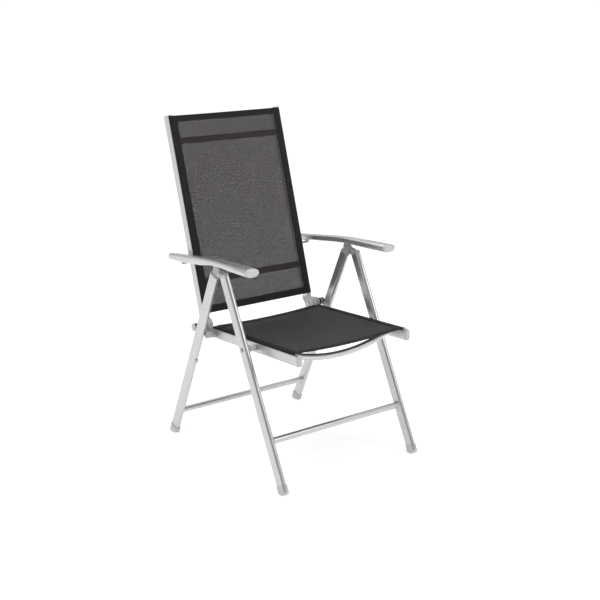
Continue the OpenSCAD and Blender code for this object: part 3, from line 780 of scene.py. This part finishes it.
def arm_size(y):
    """Half width and half height of the armrest's section, and how square its corners are."""
    half = HEAD_HALF
    if y >= WIDE_END:
        half = TAIL_HALF + (HEAD_HALF - TAIL_HALF) * ((ARM_REAR - y) / (ARM_REAR - WIDE_END)) ** 1.6
    rear = max(0, (y - (ARM_REAR - TAIL_ROUND)) / TAIL_ROUND)
    end = spread(max(0, y + ARM_FRONT), NOSE) * math.sqrt(1 - TAIL_CLOSE * rear**2)
    square = 0.6 + 0.28 * min(1, max(0, (-y - 120) / 90))
    return half * end, (ARM_HALF_HIGH + 3 * arm_share(y)) * end, square


def arm_middle(y):
    """Where the middle of the armrest's section is, out and up."""
    bend = max(0, BEND_IN * (y - BEND_START) / (ARM_REAR - BEND_START))
    out = LEG_X + HEAD_OUT * arm_share(y) - bend
    soft = (y + math.hypot(y, 16)) / 2
    rise = 11 * max(0, -y) / ARM_FRONT
    nose = max(0, (-y - (ARM_FRONT - NOSE_ROUND)) / NOSE_ROUND)
    return out, 1.5 + rise - soft * REAR_SLOPE - 3 * arm_share(y) - 1.2 * nose**2


def arm_point(y, angle):
    """A point of the section at y. Behind the bolt the outer wall hangs lower, up to the last notches."""
    out, up = arm_middle(y)
    wide, high, square = arm_size(y)
    c, s = math.cos(math.radians(angle)), math.sin(math.radians(angle))
    hung = 0
    if c > 0:
        hung = SKIRT * max(0, min(1, y / SKIRT_START, (SKIRT_END - y) / SKIRT_FADE)) * max(0, -s)
    return Vector((
        out + wide * math.copysign(abs(c) ** square, c),
        y,
        up + high * math.copysign(abs(s) ** square, s) - hung,
    ))


def arm_skin(stations, angles, closed):
    """Draws an outline from station to station along the armrest."""
    bm = bmesh.new()
    verts = [bm.verts.new(arm_point(stations[0], angle)) for angle in angles]
    edges = [bm.edges.new(pair) for pair in zip(verts, verts[1:])]
    if closed:
        edges.append(bm.edges.new((verts[-1], verts[0])))
    for y in stations[1:]:
        grown = bmesh.ops.extrude_edge_only(bm, edges=edges)["geom"]
        following = {}
        for vert in (item for item in grown if isinstance(item, bmesh.types.BMVert)):
            source = [edge.other_vert(vert) for edge in vert.link_edges]
            old = [other for other in source if other in verts][0]
            following[verts.index(old)] = vert
        verts = [following[index] for index in range(len(angles))]
        for vert, angle in zip(verts, angles):
            vert.co = arm_point(y, angle)
        edges = [item for item in grown if isinstance(item, bmesh.types.BMEdge)
                 and all(end in verts for end in item.verts)]
    return bm


def armrest(side):
    """An armrest: a thin skin open underneath, and a closed nose on its front end."""
    word = "left" if side < 0 else "right"
    stations = [-ARM_FRONT + NOSE_ROUND + 0.7 + step * HEAD_STEP for step in range(6)]
    while stations[-1] < ARM_REAR - 34:
        stations.append(stations[-1] + ARM_STEP)
    stations += [ARM_REAR - drop for drop in (22, 16, 11, 8, 5, 2.6, 1)]
    wrap = 180 + 2 * ARM_LIP
    angles = [-ARM_LIP + wrap * step / SKIN_FACES for step in range(SKIN_FACES + 1)]
    bm = arm_skin(stations, angles, closed=False)
    bmesh.ops.recalc_face_normals(bm, faces=bm.faces)
    top = max(bm.faces, key=lambda face: face.calc_center_median().z)
    if top.normal.z < 0:
        bmesh.ops.reverse_faces(bm, faces=bm.faces)
    bmesh.ops.solidify(bm, geom=bm.faces[:], thickness=ARM_WALL)
    if side < 0:
        mirrored(bm)
    finish(
        f"armrest_skin_{word}", bm, ARM, ARM_SILVER, f"{word}_armrest",
        [f"armrest_{word}"], corner=40,
    )
    stations = [-ARM_FRONT + drop for drop, _ in reversed(NOSE)]
    angles = [360 * step / NOSE_FACES for step in range(NOSE_FACES)]
    bm = arm_skin(stations, angles, closed=True)
    bmesh.ops.holes_fill(bm, edges=[edge for edge in bm.edges if edge.is_boundary], sides=0)
    if side < 0:
        mirrored(bm)
    finish(f"armrest_nose_{word}", bm, ARM, NOSE_PAINT, f"{word}_armrest", corner=30)


for side in SIDES.values():
    armrest(side)


# ---- Slings ----

# The cloth lies this far off the tubes, turns over them, and is tucked into their slots
CLEAR = 0.6
ROUND = TUBE_WIDE / 2 + CLEAR
TURN = math.radians(90 - 38) * ROUND
TUCK = 3.2
# The seat's rear flap reaches this far out from the middle
FLAP_HALF = 200
# How wide the hems are, and where the side bands start
SEAT_HEM_FRONT, SEAT_HEM_REAR, BACK_HEM_LOW, BACK_HEM_TOP = 24, 18, 24, 21
SEAT_BAND, BACK_BAND = 194, 193
HEM_LIFT, HEM_THICK, BAND_LIFT, BAND_THICK, STITCH_LIFT = 0.8, 0.7, 0.75, 0.6, 1.3
# The dark strips behind the back's mesh over its two bars, painted shade of the bars seen through the
# mesh: each one's middle, their half width and how far behind they lie
BAR_SHADE_STRIPS, BAR_SHADE_HALF, BAR_SHADE_LIFT = {"low": LOW_BAR_Z, "top": 603.5}, 10.8, -0.9


def across_frame(u, lift, sag):
    """Out and up from the profile's middle for a point u along the cloth from its centre line."""
    d = abs(u)
    if d <= RAIL_X:
        return u, TUBE_DEEP / 2 + CLEAR + lift - sag * (1 - (d / RAIL_X) ** 2)
    turn = min(d - RAIL_X, TURN) / ROUND
    radius = ROUND + lift - max(0, d - RAIL_X - TURN)
    out = RAIL_X + radius * math.sin(turn)
    return math.copysign(out, u), TUBE_DEEP / 2 - TUBE_WIDE / 2 + radius * math.cos(turn)


def seat_sag(v):
    """How far the seat hangs in the middle: least over the rear bar."""
    rear = math.exp(-(((v - 190) / 60) ** 2))
    return 8.5 - 2.5 * rear


def on_seat(u, v, lift=0.0):
    """A point of the seat's cloth. From FLAP_HALF outwards the rear flap has no length."""
    x, z = across_frame(u, lift, seat_sag(v))
    y = v
    if v > SEAT_REAR and abs(u) >= FLAP_HALF:
        y = SEAT_REAR
    return Vector((x, y, z))


def back_sag(v):
    """How far the back hangs in the middle: most halfway up."""
    return 3.5 + 2.0 * math.sin(math.pi * (v - BACK_LOW) / (BACK_HIGH - BACK_LOW))


def on_back(u, v, lift=0.0):
    """A point of the back's cloth."""
    x, depth = across_frame(u, lift, back_sag(v))
    return Vector((x, POST_Y - depth, v))


def cloth(name, surface, us, vs, at, material, body, lift=0.0, thick=0.5, stands_for=()):
    """A sheet over the frame. us and vs are its lines, in flat millimetres across and along."""
    bm = bmesh.new()
    bmesh.ops.create_grid(bm, x_segments=len(us) - 1, y_segments=len(vs) - 1, size=1)
    chart = bm.loops.layers.uv.new("UVMap")
    flat = {}
    for vert in bm.verts:
        column = round((vert.co.x + 1) / 2 * (len(us) - 1))
        row = round((vert.co.y + 1) / 2 * (len(vs) - 1))
        flat[vert] = us[column], vs[row]
    for face in bm.faces:
        for loop in face.loops:
            u, v = flat[loop.vert]
            loop[chart].uv = u / 1000, v / 1000
    for vert, (u, v) in flat.items():
        vert.co = surface(u, v, lift)
    piece = shown(name, bm, at, material)
    wall = piece.modifiers.new("cloth thickness", "SOLIDIFY")
    wall.thickness, wall.offset = thick / 1000, 0
    return tagged(piece, body, stands_for)


def lines(low, high, count):
    """Evenly spaced lines of a sheet, both ends among them."""
    return [low + (high - low) * step / count for step in range(count + 1)]


EDGE = RAIL_X + TURN
TURN_STEPS = 7
# The lines across a whole sling, and those that reach the slots and no further
SPAN = (
    [-EDGE - TUCK, -EDGE - TUCK / 2]
    + [-RAIL_X - TURN * (TURN_STEPS - step) / TURN_STEPS for step in range(TURN_STEPS)]
    + lines(-RAIL_X, RAIL_X, 80)
    + [RAIL_X + TURN * (step + 1) / TURN_STEPS for step in range(TURN_STEPS)]
    + [EDGE + TUCK / 2, EDGE + TUCK]
)
INNER_SPAN = [u for u in SPAN if abs(u) <= EDGE]
FLAT_WIDE = 2 * (EDGE + TUCK)

# A stitch's pitch, its share of the pitch and its thickness, and how far a coarse ball falls short
STITCH_PITCH, STITCH_SHARE, THREAD_RADIUS, BALL_SHORT = 4.0, 0.64, 0.45, 0.85


def stitches(name, surface, rows, at, body):
    """Rows of short stitches between flat points (u0, v0) and (u1, v1)."""
    bm = bmesh.new()
    for (u0, v0), (u1, v1) in rows:
        length = math.hypot(u1 - u0, v1 - v0)
        count = int(length / STITCH_PITCH)
        for step in range(count):
            share = (step + 0.5) / count
            half = STITCH_SHARE / 2 * STITCH_PITCH / length
            ends = [
                surface(u0 + (u1 - u0) * s, v0 + (v1 - v0) * s, STITCH_LIFT)
                for s in (share - half, share + half)
            ]
            middle, along = (ends[0] + ends[1]) / 2, ends[1] - ends[0]
            turn = along.to_track_quat("Z", "Y").to_matrix().to_4x4()
            reach = along.length / 2 / BALL_SHORT
            size = Matrix.Diagonal((THREAD_RADIUS, THREAD_RADIUS, reach, 1))
            bmesh.ops.create_icosphere(
                bm, subdivisions=1, radius=1, matrix=Matrix.Translation(middle) @ turn @ size
            )
    return finish(name, bm, at, THREAD, body, merge=0.00001)


def hem(name, surface, low, high, at, body):
    """A doubled edge across a sling, from one length along it to another."""
    rows = lines(low, high, 8)
    return cloth(name, surface, INNER_SPAN, rows, at, HEM, body, lift=HEM_LIFT, thick=HEM_THICK)


def band(name, surface, us, rows, at, body):
    """A doubled edge along a sling."""
    return cloth(name, surface, us, rows, at, HEM, body, lift=BAND_LIFT, thick=BAND_THICK)


def seat_sling():
    at, body, slot = SEAT, "seat", "seat_mesh"
    front, rear = SEAT_FRONT + SEAT_HEM_FRONT, SEAT_REAR - SEAT_HEM_REAR
    rows = lines(SEAT_FRONT, SEAT_REAR, 64) + [SEAT_REAR + SEAT_FLAP / 2, SEAT_REAR + SEAT_FLAP]
    seat = cloth(
        "seat_sling", on_seat, SPAN, rows, at, SEAT_MESH, body, stands_for=["seat_fabric"]
    )
    parts = [
        hem("seat_front_hem", on_seat, SEAT_FRONT, front, at, body),
        hem("seat_rear_hem", on_seat, rear, SEAT_REAR + SEAT_FLAP, at, body),
    ]
    for word, side in SIDES.items():
        us = sorted(side * u for u in SPAN if SEAT_BAND <= u <= EDGE)
        parts.append(band(f"seat_{word}_band", on_seat, us, lines(front, rear, 56), at, body))
    seams = [((-192, v), (192, v)) for v in (SEAT_FRONT + 21, SEAT_FRONT + 3, SEAT_REAR - 14)]
    seams += [((side * 198, front), (side * 198, rear)) for side in (-1, 1)]
    parts.append(stitches("seat_stitches", on_seat, seams, at, body))
    FLAT_WIDE / 1000


def back_sling():
    at, body, slot = BACK, "backrest", "back_mesh"
    low, high = BACK_LOW + BACK_HEM_LOW, BACK_HIGH - BACK_HEM_TOP
    rows = lines(BACK_LOW, BACK_HIGH, 84)
    back = cloth(
        "back_sling", on_back, SPAN, rows, at, BACK_MESH, body, stands_for=["back_fabric"]
    )
    parts = [
        hem("back_low_hem", on_back, BACK_LOW, low, at, body),
        hem("back_top_hem", on_back, high, BACK_HIGH, at, body),
    ]
    for word, side in SIDES.items():
        us = sorted(side * u for u in [BACK_BAND] + SPAN if BACK_BAND <= u <= EDGE)
        parts.append(band(f"back_{word}_band", on_back, us, lines(low, high, 80), at, body))
    # Dark strips over the bars, between the mesh and the bars: painted shade of the bars seen through the
    # mesh.
    for word, middle in BAR_SHADE_STRIPS.items():
        us, rows = lines(-200, 200, 60), lines(middle - BAR_SHADE_HALF, middle + BAR_SHADE_HALF, 4)
        parts.append(cloth(
            f"back_{word}_bar_shade", on_back, us, rows, at, HEM, body,
            lift=BAR_SHADE_LIFT, thick=BAND_THICK,
        ))
    seams = [((-188, v), (188, v)) for v in (BACK_LOW + 21, BACK_HIGH - 18)]
    seams += [((side * 196, low), (side * 196, high)) for side in (-1, 1)]
    parts.append(stitches("back_stitches", on_back, seams, at, body))
    FLAT_WIDE / 1000


seat_sling()
back_sling()


# ---- Floor ----

FLOOR_HALF, FLOOR_GLOW = 200, 0.42


def floor():
    """A pale floor that reaches to the horizon, and glows a little so that it stays white."""
    bm = bmesh.new()
    bmesh.ops.create_grid(bm, x_segments=4, y_segments=4, size=FLOOR_HALF)
    mesh = bpy.data.meshes.new("floor")
    bm.to_mesh(mesh)
    bm.free()
    paint = Paint(
        "pale floor", Base_Color=(*grey(0.9), 1), Roughness=0.85, Emission_Color=(*grey(1), 1),
        Emission_Strength=FLOOR_GLOW,
    )
    mesh.materials.append(paint.material)
    ground = bpy.data.objects.new("floor", mesh)
    bpy.context.scene.collection.objects.link(ground)


floor()
